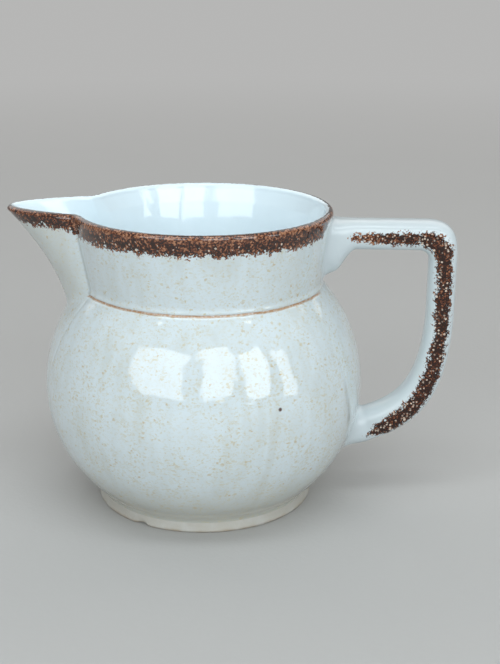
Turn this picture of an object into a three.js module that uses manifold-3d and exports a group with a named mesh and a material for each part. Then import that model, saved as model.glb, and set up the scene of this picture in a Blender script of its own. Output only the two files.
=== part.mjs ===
// Glazed ceramic jug: a round belly on a low foot ring, a straight collar with a beak spout
// luted over a cut in it, and a square-shouldered strap handle.
// Millimetres, +Z up, standing on z = 0, spout towards -X and handle towards +X.
// The origin is the middle of the jug's footprint box, at table height.

import * as THREE from 'three';
import { mergeVertices } from 'three/addons/utils/BufferGeometryUtils.js';
import Module from 'manifold-3d';

const { clamp, degToRad, lerp, smoothstep } = THREE.MathUtils;

// Belly, shoulder and collar
const bellyRadius = 72.8;
const bellyCentreHeight = 54.5;
const neckHeight = 102;
const neckRadius = 53.7;
const rimHeight = 136;
const rimRadius = 58.2;
const wallThickness = 4.5;
const lipThickness = 3.8;
const floorThickness = 5;
const neckGrooveDepth = 0.9;
const neckGrooveHeight = 1.8;

// Foot ring
const footRadius = 50;
const footHeight = 4.4;
const footFlare = 1.2;
const footLandWidth = 6.5;
const footEdgeRadius = 0.9;

// Beak spout: its keel leaves the shoulder nearly upright and sweeps out to the tip
const beakTipReach = 88.2;
const beakRootReach = 62;
const beakRootHeight = 88;
const beakSweep = 1.7;
const beakWall = 3.6;
const beakTipHalfWidth = 12;
const beakRootHalfWidth = 15;
const beakCheekShare = 0.3;
const beakCheekNarrowing = 0.92;
const creaseAngleAtNeck = 30;
const creaseAngleAtRim = 22;
const beakFloorRise = 2;
const beakFloorRadius = 4;
const lipCrestWidth = 0.4;

// Strap handle: level arm, corner, upright grip, and a tail that swings in to the belly
const armDrop = 11.1;
const gripReach = 107.2;
const gripLength = 20;
const cornerRadius = 11;
const cornerSwell = 2.4;
const tailHeight = 31.8;
const tailSlope = 17;
const tailDropShare = 0.78;
const tailRunShare = 0.6;
const armThickness = 13.3;
const gripThickness = 11.8;
const tailThickness = 15;
const handleWidth = 17;
const handleSquareness = 2.8;
const upperFlareDrop = 12.5;
const upperFlareStart = 3;
const upperFlareLength = 12;
const lowerFlareRise = 4.5;
const lowerFlareLength = 9;
const flareSpread = 3;

// Slip joints: a thin layer between two pieces, with a bead that stands out past their edge
const luteThickness = 0.6;
const luteBead = 0.7;
const jointGap = 0.3;

// Fineness of the faceted surfaces
const turnSegments = 60;
const arcSteps = 13;
const lipSteps = 6;
const edgeSteps = 3;
const beakHalfSteps = 12;
const beakHeightSteps = 9;
const handleSides = 20;
const flareSteps = 12;
const straightSteps = 2;
const cornerSteps = 8;
const tailSteps = 16;

// Handle length of the cubic curve that follows a quarter circle of radius 1
const quarterCircleHandle = (4 / 3) * (Math.SQRT2 - 1);

// Heights and radii that follow from the driving dimensions
const seatDepth = 2 * jointGap + luteThickness;
const bellyBottom = footHeight + seatDepth;
const bellyBottomRadius = footRadius - footFlare;
const floorHeight = bellyBottom + floorThickness;
const lowerHalfHeight = ellipseHalfHeight(bellyCentreHeight - bellyBottom, bellyBottomRadius);
const upperHalfHeight = ellipseHalfHeight(neckHeight - bellyCentreHeight, neckRadius);
const lipRadius = lipThickness / 2;
const collarTop = rimHeight - lipRadius;
const beakLipRadius = (beakWall - lipCrestWidth) / 2;
const beakTop = rimHeight - beakLipRadius;
const beakBack = neckRadius / 2;
const armHeight = rimHeight - armDrop;
const gripOuterReach = gripReach + gripThickness / 2;
const axisOffset = (beakTipReach - gripOuterReach) / 2;

const wasm = await Module();
wasm.setup();

// Vertical half axis of the ellipse that narrows from the belly to a radius over a rise
function ellipseHalfHeight(rise, radius) {
  return rise / Math.sqrt(1 - (radius / bellyRadius) ** 2);
}

// Outer radius of the body at one height: lower and upper ellipse, then the tapered collar
function bodyRadius(z) {
  if (z > neckHeight) {
    return lerp(neckRadius, rimRadius, (z - neckHeight) / (collarTop - neckHeight));
  }
  const halfHeight = z < bellyCentreHeight ? lowerHalfHeight : upperHalfHeight;
  const rise = (z - bellyCentreHeight) / halfHeight;
  return bellyRadius * Math.sqrt(1 - rise * rise);
}

// A closed mesh as a solid
function toSolid(geometry) {
  geometry.deleteAttribute('normal');
  geometry.deleteAttribute('uv');
  const merged = mergeVertices(geometry);
  const index = merged.index.array;
  const triangles = [];
  for (let i = 0; i < index.length; i += 3) {
    const [a, b, c] = index.slice(i, i + 3);
    if (a !== b && b !== c && c !== a) {
      triangles.push(a, b, c);
    }
  }
  const vertProperties = Float32Array.from(merged.attributes.position.array);
  const triVerts = Uint32Array.from(triangles);
  return new wasm.Manifold(new wasm.Mesh({ numProp: 3, vertProperties, triVerts }));
}

// A solid as a mesh's geometry
function toGeometry(solid) {
  const mesh = solid.getMesh();
  const geometry = new THREE.BufferGeometry();
  geometry.setAttribute('position', new THREE.BufferAttribute(mesh.vertProperties, 3));
  geometry.setIndex(new THREE.BufferAttribute(mesh.triVerts, 1));
  geometry.computeVertexNormals();
  return geometry;
}

// A profile of [radius, height] pairs turned about the upright axis
function turned(profile) {
  const points = profile.map(([radius, height]) => new THREE.Vector2(radius, height));
  return toSolid(new THREE.LatheGeometry(points, turnSegments).rotateX(Math.PI / 2));
}

// A skin over rings of equal count, closed by a fan at each end
function lofted(rings) {
  const count = rings[0].length;
  const triangles = [];
  for (let ring = 0; ring + 1 < rings.length; ring += 1) {
    for (let side = 0; side < count; side += 1) {
      const a = ring * count + side;
      const b = ring * count + ((side + 1) % count);
      triangles.push(a, b, b + count, a, b + count, a + count);
    }
  }
  const last = (rings.length - 1) * count;
  for (let side = 1; side + 1 < count; side += 1) {
    triangles.push(0, side + 1, side, last, last + side, last + side + 1);
  }
  const geometry = new THREE.BufferGeometry().setFromPoints(rings.flat());
  geometry.setIndex(triangles);
  return toSolid(geometry);
}

// Points on a circle's arc, as [radius, height] pairs
function arc(centreRadius, centreHeight, radius, fromDegrees, toDegrees, steps) {
  const points = [];
  for (let step = 0; step <= steps; step += 1) {
    const angle = degToRad(lerp(fromDegrees, toDegrees, step / steps));
    points.push([
      centreRadius + radius * Math.cos(angle),
      centreHeight + radius * Math.sin(angle),
    ]);
  }
  return points;
}

// Points of the belly's meridian, grown by an offset, between two heights
function bellyMeridian(fromHeight, toHeight, offset) {
  const halfHeightOf = (below) => (below ? lowerHalfHeight : upperHalfHeight) + offset;
  const angleAt = (z) => {
    const rise = z - bellyCentreHeight;
    return Math.asin(rise / halfHeightOf(rise < 0));
  };
  const start = angleAt(fromHeight);
  const end = angleAt(toHeight);
  const points = [];
  for (let step = 0; step <= arcSteps; step += 1) {
    const angle = lerp(start, end, step / arcSteps);
    points.push([
      (bellyRadius + offset) * Math.cos(angle),
      bellyCentreHeight + halfHeightOf(angle < 0) * Math.sin(angle),
    ]);
  }
  return points;
}

// The body's outside as a filled solid grown by an offset, which the luted pieces seat on
function filledBody(offset) {
  const top = rimHeight + offset;
  return turned([
    [0, bellyBottom - offset],
    ...bellyMeridian(bellyBottom, neckHeight, offset),
    [rimRadius + offset, collarTop],
    [rimRadius + offset, top],
    [0, top],
  ]);
}

// The slip layer that follows the body's outside
function luteShell() {
  return filledBody(jointGap + luteThickness).subtract(filledBody(jointGap));
}

// Hollow shell of belly, shoulder and collar, cut open behind the beak
function makeBody() {
  const shoulderTop = neckHeight - neckGrooveHeight;
  const shell = turned([
    [0, bellyBottom],
    ...bellyMeridian(bellyBottom, shoulderTop, 0),
    [neckRadius - neckGrooveDepth, neckHeight - neckGrooveHeight / 2],
    [neckRadius, neckHeight],
    ...arc(rimRadius - lipRadius, collarTop, lipRadius, 0, 180, lipSteps),
    ...bellyMeridian(floorHeight, neckHeight, -wallThickness).reverse(),
    [0, floorHeight],
  ]);
  return shell.subtract(beakChannel());
}

// Ring with a flat land to stand on and rounded lower edges
function makeFootRing() {
  const inner = footRadius - footLandWidth;
  const outer = footRadius - footEdgeRadius;
  const inside = inner + footEdgeRadius;
  const edge = footEdgeRadius;
  const profile = [
    ...arc(inside, edge, edge, 180, 270, edgeSteps),
    ...arc(outer, edge, edge, 270, 360, edgeSteps),
    [bellyBottomRadius, footHeight],
    [inner, footHeight],
  ];
  return turned([...profile, profile[0]]);
}

// Slip between the foot ring and the floor
function makeFootLute() {
  const inner = footRadius - footLandWidth;
  const low = footHeight + jointGap;
  const high = low + luteThickness;
  const profile = [
    [inner, low],
    [bellyBottomRadius, low],
    [bellyBottomRadius, high],
    [inner, high],
  ];
  return turned([...profile, profile[0]]);
}

// Plan of the beak at one height, taken in by an inset, closed off inside the collar
function beakRing(z, inset) {
  const climb = Math.max(0, (z - neckHeight) / (rimHeight - neckHeight));
  const sweep = Math.max(0, (z - beakRootHeight) / (beakTop - beakRootHeight));
  const reach = lerp(beakRootReach, beakTipReach, Math.min(1, sweep) ** beakSweep);
  const halfWidth = lerp(beakRootHalfWidth, beakTipHalfWidth, climb);
  const angle = degToRad(lerp(creaseAngleAtNeck, creaseAngleAtRim, climb));
  const root = bodyRadius(clamp(z, neckHeight, collarTop));
  const crease = new THREE.Vector2(root * Math.cos(angle), root * Math.sin(angle));
  const cheek = new THREE.Vector2(
    lerp(crease.x, reach, beakCheekShare),
    crease.y * beakCheekNarrowing,
  );
  const nose = new THREE.Vector2(reach, halfWidth);
  const inward = nose.clone().sub(cheek).normalize();
  inward.set(inward.y, -inward.x).multiplyScalar(inset);
  crease.add(inward);
  cheek.add(inward);
  const keel = new THREE.Vector2(reach - inset, 0);
  nose.set(keel.x, halfWidth * (1 - inset / (2 * beakWall)));
  const half = new THREE.CubicBezierCurve(crease, cheek, nose, keel).getPoints(beakHalfSteps);
  const left = [new THREE.Vector2(beakBack, crease.y), ...half];
  const right = left.slice(0, -1).reverse();
  return [
    ...left.map((point) => new THREE.Vector3(-point.x, point.y, z)),
    ...right.map((point) => new THREE.Vector3(-point.x, -point.y, z)),
  ];
}

// Rings from a low height up to the start of the lip
function beakRings(fromHeight, inset) {
  const rings = [];
  for (let step = 0; step < beakHeightSteps; step += 1) {
    rings.push(beakRing(lerp(fromHeight, beakTop, step / beakHeightSteps), inset));
  }
  return rings;
}

// Quarter turn over the lip: the inset grows by the lip radius, or shrinks by it
function beakLipRings(inset, direction) {
  const turn = arc(0, beakTop, beakLipRadius, 0, 90, edgeSteps);
  return turn.map(([out, z]) => beakRing(z, inset + direction * (beakLipRadius - out)));
}

// Outside of the beak as a filled solid, with room for a bead of slip around it
function filledBeak(bead) {
  return lofted([...beakRings(bellyCentreHeight, -bead), ...beakLipRings(-bead, 1)]);
}

// The pouring channel, from a rounded floor up past the rim
function beakChannel() {
  const floor = neckHeight + beakFloorRise;
  const floorTurn = arc(0, floor + beakFloorRadius, beakFloorRadius, 270, 360, edgeSteps);
  const floorRings = floorTurn.map(([out, z]) =>
    beakRing(z, beakWall + beakFloorRadius - out));
  const crestRing = beakRing(rimHeight, beakWall - beakLipRadius);
  const above = crestRing.map((point) => point.clone().setZ(rimHeight + wallThickness));
  return lofted([
    ...floorRings,
    ...beakRings(floor + beakFloorRadius, beakWall).slice(1),
    ...beakLipRings(beakWall, -1),
    above,
  ]);
}

function makeSpout() {
  return filledBeak(0).subtract(beakChannel()).subtract(filledBody(seatDepth));
}

function makeSpoutLute() {
  return filledBeak(luteBead).subtract(beakChannel()).intersect(luteShell());
}

// Where the handle's centre line meets the belly, and the way it runs in there
const tailEnd = new THREE.Vector3(bodyRadius(tailHeight), 0, tailHeight);
const tailDirection = new THREE.Vector3(
  -Math.cos(degToRad(tailSlope)),
  0,
  -Math.sin(degToRad(tailSlope)),
);

// Centre line of the handle, from inside the collar to inside the belly
function handleSegments() {
  const at = (x, z) => new THREE.Vector3(x, 0, z);
  const flareStart = at(neckRadius - 2 * wallThickness, armHeight);
  const flareEnd = at(neckRadius + upperFlareStart + upperFlareLength, armHeight);
  const armEnd = at(gripReach - cornerRadius, armHeight);
  const gripTop = at(gripReach, armHeight - cornerRadius);
  const gripEnd = at(gripReach, armHeight - cornerRadius - gripLength);
  const tailDrop = tailDropShare * (gripEnd.z - tailEnd.z);
  const tailRun = tailRunShare * (gripEnd.x - tailEnd.x);
  const tail = new THREE.CubicBezierCurve3(
    gripEnd,
    at(gripReach, gripEnd.z - tailDrop),
    tailEnd.clone().addScaledVector(tailDirection, -tailRun),
    tailEnd,
  );
  const rootEnd = tailEnd.clone().addScaledVector(tailDirection, tailThickness);
  const flare = new THREE.LineCurve3(flareStart, flareEnd);
  const arm = new THREE.LineCurve3(flareEnd, armEnd);
  const pull = quarterCircleHandle * cornerRadius;
  const bend = new THREE.CubicBezierCurve3(
    armEnd,
    at(armEnd.x + pull, armHeight),
    at(gripReach, gripTop.z + pull),
    gripTop,
  );
  const grip = new THREE.LineCurve3(gripTop, gripEnd);
  const root = new THREE.LineCurve3(tailEnd, rootEnd);
  const segment = (curve, steps, from, to, swell = 0) => ({ curve, steps, from, to, swell });
  return {
    flare: segment(flare, flareSteps, armThickness, armThickness),
    arm: segment(arm, straightSteps, armThickness, armThickness),
    bend: segment(bend, cornerSteps, armThickness, gripThickness, cornerSwell),
    grip: segment(grip, straightSteps, gripThickness, gripThickness),
    tail: segment(tail, tailSteps, gripThickness, tailThickness),
    root: segment(root, straightSteps, tailThickness, tailThickness),
  };
}

// Section across the handle: a squared oval, fuller on its outer side round the corner and
// deeper on its inner side where it flares out
function handleRing(centre, tangent, thickness, swell, bead) {
  const fromCollar = centre.x - neckRadius;
  const upperEnd = upperFlareStart + upperFlareLength;
  const upper = 1 - smoothstep(fromCollar, upperFlareStart, upperEnd);
  const isTail = centre.z < bellyCentreHeight;
  const lower = isTail ? 1 - smoothstep(centre.x - tailEnd.x, 0, lowerFlareLength) : 0;
  const flare = isTail ? lower * lowerFlareRise : upper * upperFlareDrop;
  const outer = thickness / 2 + bead + swell;
  const inner = thickness / 2 + bead + flare;
  const halfWidth = handleWidth / 2 + bead + flareSpread * (isTail ? lower : upper);
  const inwards = new THREE.Vector3(tangent.z, 0, -tangent.x);
  const squared = (value) => Math.sign(value) * Math.abs(value) ** (2 / handleSquareness);
  const ring = [];
  for (let side = 0; side < handleSides; side += 1) {
    const angle = (2 * Math.PI * side) / handleSides;
    const depth = squared(Math.cos(angle));
    const point = centre.clone().addScaledVector(inwards, depth * (depth > 0 ? inner : outer));
    point.y = halfWidth * squared(Math.sin(angle));
    ring.push(point);
  }
  return ring;
}

// Solid along some of the handle's segments, swollen by a bead
function sweptHandle(segments, bead) {
  const rings = [];
  for (const { curve, steps, from, to, swell } of segments) {
    for (let step = rings.length ? 1 : 0; step <= steps; step += 1) {
      const share = step / steps;
      const thickness = lerp(from, to, share);
      const fullness = swell * Math.sin(Math.PI * share) ** 2;
      const centre = curve.getPoint(share);
      rings.push(handleRing(centre, curve.getTangent(share), thickness, fullness, bead));
    }
  }
  return lofted(rings);
}

function makeHandle() {
  const whole = sweptHandle(Object.values(handleSegments()), 0);
  return whole.subtract(filledBody(seatDepth));
}

function makeUpperHandleLute() {
  return sweptHandle([handleSegments().flare], luteBead).intersect(luteShell());
}

function makeLowerHandleLute() {
  const { tail, root } = handleSegments();
  return sweptHandle([tail, root], luteBead).intersect(luteShell());
}

const speckledGlaze = { color: '#cfd6d2', roughness: 0.18, metalness: 0 };
const whiteGlaze = { color: '#dbe3e6', roughness: 0.15, metalness: 0 };
const footGlaze = { color: '#cdc6b6', roughness: 0.4, metalness: 0 };

const pieces = [
  ['body', makeBody(), speckledGlaze],
  ['foot_ring', makeFootRing(), footGlaze],
  ['foot_lute', makeFootLute(), footGlaze],
  ['spout', makeSpout(), speckledGlaze],
  ['spout_lute', makeSpoutLute(), speckledGlaze],
  ['handle', makeHandle(), whiteGlaze],
  ['upper_handle_lute', makeUpperHandleLute(), whiteGlaze],
  ['lower_handle_lute', makeLowerHandleLute(), whiteGlaze],
];

const jug = new THREE.Group();
for (const [name, solid, finish] of pieces) {
  const mesh = new THREE.Mesh(toGeometry(solid), new THREE.MeshStandardMaterial(finish));
  mesh.name = name;
  mesh.position.x = axisOffset;
  jug.add(mesh);
}

export default jug;
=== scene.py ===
import math

import bpy
import numpy as np
from bpy.props import FloatProperty, FloatVectorProperty, IntProperty, PointerProperty
from mathutils import Matrix, Vector


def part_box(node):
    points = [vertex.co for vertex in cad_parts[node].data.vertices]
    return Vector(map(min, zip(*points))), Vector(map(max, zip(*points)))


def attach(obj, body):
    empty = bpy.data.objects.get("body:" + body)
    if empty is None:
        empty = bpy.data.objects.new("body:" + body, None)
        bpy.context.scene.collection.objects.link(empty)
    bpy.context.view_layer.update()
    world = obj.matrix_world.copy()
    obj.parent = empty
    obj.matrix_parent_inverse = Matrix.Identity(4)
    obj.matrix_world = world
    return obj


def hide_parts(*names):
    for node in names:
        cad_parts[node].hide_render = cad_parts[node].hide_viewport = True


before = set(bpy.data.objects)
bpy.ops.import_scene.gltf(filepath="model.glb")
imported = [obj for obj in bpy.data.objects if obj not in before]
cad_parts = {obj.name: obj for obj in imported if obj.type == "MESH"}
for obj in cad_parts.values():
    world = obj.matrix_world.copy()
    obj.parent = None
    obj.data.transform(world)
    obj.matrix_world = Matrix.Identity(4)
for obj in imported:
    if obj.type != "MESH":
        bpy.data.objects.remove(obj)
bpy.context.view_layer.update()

bl_info = {
    "name": "Ceramic jug",
    "version": (1, 0, 0),
    "blender": (4, 5, 0),
    "location": "3D View > Sidebar > Jug",
    "description": "Dresses the packed jug: body with a pulled beak, foot ring, strap handle",
    "category": "Object",
}

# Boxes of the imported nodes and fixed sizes, in metres

BODY_LOW, BODY_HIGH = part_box("body")
SPOUT_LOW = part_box("spout")[0]
FOOT_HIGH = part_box("foot_ring")[1]
HANDLE_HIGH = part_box("handle")[1]
AXIS_X = (BODY_LOW.x + BODY_HIGH.x) / 2
HANDLE_SPREAD = 0.003
IRON_SPOT = (0.0246, -0.0623, 0.0642)
WORN_NOSE_REACH = 0.0872
WELD = 2e-6

# Control point's share of the radius at which a cubic curve comes closest to a quarter circle
ROUND_CORNER = 0.5523

# Path along the handle from 0 to 1, and where the stripe's middle lies across it from 0 to 1
STRIPE = (
    (0.0, 0.52), (0.25, 0.52), (0.37, 0.48), (0.50, 0.47),
    (0.65, 0.46), (0.80, 0.42), (0.92, 0.32), (1.0, 0.20),
)

# Stage

FLOOR_REACH = 20.0
SURROUND_LIGHT = 0.30
MIRRORED_SURROUND = 0.5
LIGHT_TARGET = Vector((AXIS_X, 0, 0.075))
SKY = (0.90, 0.97, 1.0)
PLAIN = (1.0, 1.0, 0.99)
# Degrees round from the front and up, metres away, degrees wide and high, glow and colour
LIGHTS = {
    "pane_left": (-30, 23, 1.6, 38, 32, 2.65, SKY),
    "pane_middle": (15, 26, 1.6, 21, 35, 2.95, SKY),
    "pane_right": (42, 20, 1.6, 19, 33, 3.3, SKY),
    "pane_far_right": (66, 15, 1.6, 8, 30, 2.8, SKY),
    "overhead": (5, 72, 1.5, 60, 13, 3.8, SKY),
    "ceiling": (0, 90, 6.0, 120, 120, 0.22, PLAIN),
    "back_left": (215, 38, 2.2, 55, 40, 0.80, PLAIN),
    "back_right": (145, 38, 2.2, 55, 40, 0.80, PLAIN),
}
# Camera: degrees round from the front, up and rolled, and its lens in pixels of the photograph
CAMERA_TURN = (2.69, 17.9, 0.28)
CAMERA_PLACE = (AXIS_X + 0.0459, -0.5248, 0.2473)
LENS_PIXELS, PHOTO_HEIGHT, SENSOR = 1200, 664, 36


def length(name, note, default):
    """A length in metres that a user may change."""
    return FloatProperty(name=name, description=note, default=default, precision=5, unit="LENGTH")


def share(name, note, default):
    """A plain number that a user may change."""
    return FloatProperty(name=name, description=note, default=default, precision=4)


def angle(name, note, degrees):
    """An angle that a user may change."""
    turn = math.radians(degrees)
    return FloatProperty(
        name=name, description=note, default=turn, subtype="ANGLE", unit="ROTATION"
    )


def count(name, note, default):
    """A number of steps that a user may change."""
    return IntProperty(name=name, description=note, default=default, min=3)


def tint(name, note, default):
    """A linear colour that a user may change."""
    return FloatVectorProperty(
        name=name, description=note, default=default, size=3, min=0, max=1, subtype="COLOR"
    )


def group(name, note, kind):
    """A group of settings that a user may change."""
    return PointerProperty(name=name, description=note, type=kind)


class JugBodySizes(bpy.types.PropertyGroup):
    """Sizes of the turned body and of the ring that it stands on."""

    belly_radius: length("Belly radius", "Greatest radius", BODY_HIGH.y)
    belly_centre: length("Belly centre", "Height of the greatest radius", 0.0545)
    belly_bottom: length("Belly bottom", "Height of the underside", BODY_LOW.z)
    bottom_radius: length("Bottom radius", "Radius where the belly meets the foot", 0.0488)
    bottom_tuck: length("Bottom tuck", "Depth of the underside's edge inside the foot ring", 0.0014)
    neck_height: length("Neck height", "Height of the line under the collar", 0.102)
    neck_radius: length("Neck radius", "Radius under the collar", 0.0537)
    neck_fillet: length("Neck fillet", "Softness of the corner under the collar", 0.0016)
    groove_depth: length("Groove depth", "Depth of the scored neck line", 0.0006)
    groove_width: length("Groove width", "Half width of the scored neck line", 0.0006)
    rim_height: length("Rim height", "Height of the rim", BODY_HIGH.z)
    rim_radius: length("Rim radius", "Outside radius at the rim", 0.0582)
    wall: length("Wall", "Thickness of the belly's wall", 0.0045)
    lip: length("Lip", "Thickness of the rounded lip", 0.0038)
    inner_bevel: length("Inner bevel", "How far the mouth flares towards the rim", 0.0010)
    floor: length("Floor", "Thickness of the floor", 0.005)
    floor_corner: length("Floor corner", "Height of the rounding between wall and floor", 0.007)
    floor_run: length("Floor run", "Width of the rounding between wall and floor", 0.015)
    facets: count("Facets", "Steps round the body", 340)
    crowding: share("Crowding", "How far the steps crowd towards the beak", 0.62)
    foot_radius: length("Foot radius", "Outside radius of the foot ring", FOOT_HIGH.y)
    foot_land: length("Foot land", "Width of the ring that stands on the table", 0.0065)
    foot_edge: length("Foot edge", "Rounding of the ring's lower edges", 0.0010)
    foot_facets: count("Foot facets", "Steps round the foot", 220)
    chip_turn: angle("Chip turn", "Place of the chip round the foot", -119.5)
    chip_radius: length("Chip radius", "Reach of the chip", 0.0034)
    chip_depth: length("Chip depth", "Depth of the chip", 0.0009)


class JugBeakSizes(bpy.types.PropertyGroup):
    """Sizes of the pulled beak, measured from the jug's axis."""

    tip_reach: length("Tip reach", "Axis to the tip", AXIS_X - SPOUT_LOW.x)
    root_reach: length("Root reach", "Axis to the keel at its root", 0.062)
    root_height: length("Root height", "Height where the keel leaves the shoulder", 0.088)
    sweep: share("Sweep", "How late the keel sweeps outwards", 1.7)
    wall: length("Wall", "Thickness of the beak's wall", 0.0036)
    tip_half_width: length("Tip half width", "Half width of the nose at the rim", 0.012)
    root_half_width: length("Root half width", "Half width of the nose at the neck", 0.015)
    cheek_share: share("Cheek share", "Place of the cheek between crease and nose", 0.3)
    cheek_narrowing: share("Cheek narrowing", "Width of the cheek against the crease", 0.92)
    crease_at_neck: angle("Crease at neck", "Angle of the crease from the spout at the neck", 30)
    crease_at_rim: angle("Crease at rim", "Angle of the crease from the spout at the rim", 22)
    crease_softness: length("Crease softness", "Width over which the crease is rounded", 0.0020)
    inner_softness: length("Inner softness", "Width of the rounding inside the crease", 0.0034)
    score_depth: length("Score depth", "Depth of the scored line along the crease", 0.0005)
    score_width: length("Score width", "Half width of the scored line", 0.0006)
    seam_fall: length("Seam fall", "Drop of the faint line that runs on over the shoulder", 0.034)
    seam_end: angle("Seam end", "Angle from the spout at which that line fades", 23)
    seam_strength: share("Seam strength", "Depth of that line against the scored one", 0.6)


class JugHandleSizes(bpy.types.PropertyGroup):
    """Sizes of the strap handle, measured from the jug's axis."""

    arm_height: length("Arm height", "Height of the arm's centre line", 0.1249)
    grip_reach: length("Grip reach", "Axis to the grip's centre line", 0.1074)
    grip_length: length("Grip length", "Straight part of the grip", 0.020)
    corner_radius: length("Corner radius", "Bend of the centre line", 0.011)
    corner_swell: length("Corner swell", "Extra clay on the outside of the corner", 0.0024)
    tail_height: length("Tail height", "Height where the tail meets the belly", 0.0318)
    tail_slope: angle("Tail slope", "Fall of the tail's last part", 17)
    tail_drop: share("Tail drop", "First control point's share of the drop", 0.78)
    tail_run: share("Tail run", "Second control point's share of the run", 0.6)
    arm_thickness: length("Arm thickness", "Thickness of the arm", 0.0133)
    grip_thickness: length("Grip thickness", "Thickness of the grip", 0.0126)
    tail_thickness: length("Tail thickness", "Thickness of the tail's end", 0.015)
    width: length("Width", "Width of the strap", 2 * (HANDLE_HIGH.y - HANDLE_SPREAD))
    squareness: share("Squareness", "Exponent of the strap's section", 2.8)
    upper_flare: length("Upper flare", "Extra depth under the arm at the collar", 0.0125)
    upper_flare_start: length("Upper flare start", "Neck radius to the full flare", 0.003)
    upper_flare_length: length("Upper flare length", "Run of the upper flare", 0.012)
    lower_flare: length("Lower flare", "Extra depth over the tail at the belly", 0.0045)
    lower_flare_length: length("Lower flare length", "Run of the lower flare", 0.009)
    spread: length("Spread", "Extra half width at both ends", HANDLE_SPREAD)
    upper_seat: length("Upper seat", "Collar to where the arm starts to spread onto it", 0.0045)
    upper_seat_rise: length("Upper seat rise", "Arm's centre line to the seat's top", 0.0083)
    upper_seat_drop: length("Upper seat drop", "Arm's centre line to the seat's foot", 0.0222)
    upper_seat_half: length("Upper seat half width", "Half width of the seat on the collar", 0.0140)
    lower_seat: length("Lower seat", "Belly to where the tail starts to spread onto it", 0.0064)
    lower_seat_rise: length("Lower seat rise", "Tail's end to the seat's top", 0.0124)
    lower_seat_drop: length("Lower seat drop", "Tail's end to the seat's foot", 0.0120)
    lower_seat_half: length("Lower seat half width", "Half width of the seat on the belly", 0.0150)
    sunk: length("Sunk", "How far both ends run on into the wall", 0.002)
    seat_steps: count("Seat steps", "Steps over each seat", 14)
    sides: count("Sides", "Steps round the strap", 72)


class JugFinishes(bpy.types.PropertyGroup):
    """Colours of the glazes, the sponged brown and the stage."""

    glaze: tint("Glaze", "Pale glaze of the body", (0.653, 0.738, 0.775))
    glaze_thin: tint("Thin glaze", "Glaze where it ran thin", (0.592, 0.655, 0.662))
    # Painted shade: a darker glaze colour put on the beak and low on the belly where shade falls
    painted_shade_low: tint("Painted shade", "Painted shade on the beak and down by the foot", (0.52, 0.53, 0.49))
    # Painted light: the inside's glaze is set paler than the outside glaze to give the inside its
    # lit brightness
    lit_lining: tint("Lit lining", "Inside glaze with painted light", (0.785, 0.90, 0.955))
    handle_glaze: tint("Handle glaze", "White glaze of the handle", (0.605, 0.672, 0.70))
    speck: tint("Speck", "Ochre specks", (0.52, 0.40, 0.21))
    speck_pale: tint("Pale speck", "Fainter tan specks", (0.575, 0.53, 0.37))
    glaze_run: tint("Glaze run", "Runs in the glaze", (0.47, 0.46, 0.38))
    # Painted shade: grey darkening laid along the scored crease and seam
    crease_shade: tint("Crease shade", "Painted grey shade in a scored line", (0.25, 0.27, 0.27))
    iron: tint("Iron", "Dark iron spot", (0.080, 0.024, 0.015))
    neck_line: tint("Neck line", "Ochre brown in the neck line", (0.38, 0.20, 0.085))
    sponge_dark: tint("Sponge dark", "Darkest sponged brown", (0.020, 0.005, 0.002))
    sponge: tint("Sponge", "Middle of the sponged brown", (0.135, 0.035, 0.013))
    sponge_tan: tint("Sponge tan", "Tan between the dabs", (0.40, 0.19, 0.10))
    sponge_hole: tint("Sponge hole", "Glaze that shows between the dabs", (0.80, 0.65, 0.53))
    foot: tint("Foot", "Thin wiped glaze of the foot", (0.48, 0.46, 0.41))
    foot_pale: tint("Foot pale", "Thicker glaze on the foot", (0.52, 0.51, 0.475))
    foot_edge: tint("Foot edge", "Toasted clay at the foot's edge", (0.36, 0.27, 0.18))
    ground: tint("Floor", "Pale studio floor", (0.50, 0.495, 0.485))
    surround: tint("Surround", "Pale surround behind the floor", (0.47, 0.47, 0.465))


class JugSettings(bpy.types.PropertyGroup):
    """All settings of the jug."""

    body: group("Body", "Sizes of the body and the foot ring", JugBodySizes)
    beak: group("Beak", "Sizes of the pulled beak", JugBeakSizes)
    handle: group("Handle", "Sizes of the strap handle", JugHandleSizes)
    finishes: group("Finishes", "Colours of the glazes and the stage", JugFinishes)


def settings():
    """The scene's jug settings."""
    return bpy.context.scene.jug


# Shape rules


def smoothstep(value, low, high):
    """0 below low, 1 above high, smooth between."""
    step = np.clip((np.asarray(value, float) - low) / (high - low), 0, 1)
    return step * step * (3 - 2 * step)


def soft_max(first, second, width):
    """The greater of two values, rounded where they are within a width of each other."""
    near = np.clip(width - np.abs(first - second), 0, None) / width
    return np.maximum(first, second) + near * near * width / 4


def lerp(start, end, part):
    """Straight mix of two values."""
    return start + (end - start) * part


def unit(vectors):
    """Rows of vectors, each made one long."""
    return vectors / np.linalg.norm(vectors, axis=1, keepdims=True)


def cubic(t, a, b, c, d):
    """Place at t on the cubic curve from a to d with the control points b and c."""
    s = 1 - t
    return s ** 3 * a + 3 * t * s * s * b + 3 * t * t * s * c + t ** 3 * d


def bezier(steps, *points):
    """Points of a cubic curve in the plane, both ends included."""
    t = np.linspace(0, 1, steps + 1)[:, None]
    return cubic(t, *(np.asarray(p, float) for p in points))


def profile(*stretches):
    """Rows (radius, height, inside) of stretches in turn; inside is 0 where it isn't given."""
    rows = []
    for radii, heights, *inside in stretches:
        rows.extend(np.broadcast(radii, heights, *(inside or [0])))
    return rows


def belly_half_heights(body, offset=0.0):
    """Half heights of the belly's lower and upper ellipse, grown by an offset."""

    def half_height(rise, radius):
        return rise / math.sqrt(1 - (radius / body.belly_radius) ** 2) + offset

    lower = half_height(body.belly_centre - body.belly_bottom, body.bottom_radius)
    upper = half_height(body.neck_height - body.belly_centre, body.neck_radius)
    return lower, upper


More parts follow.
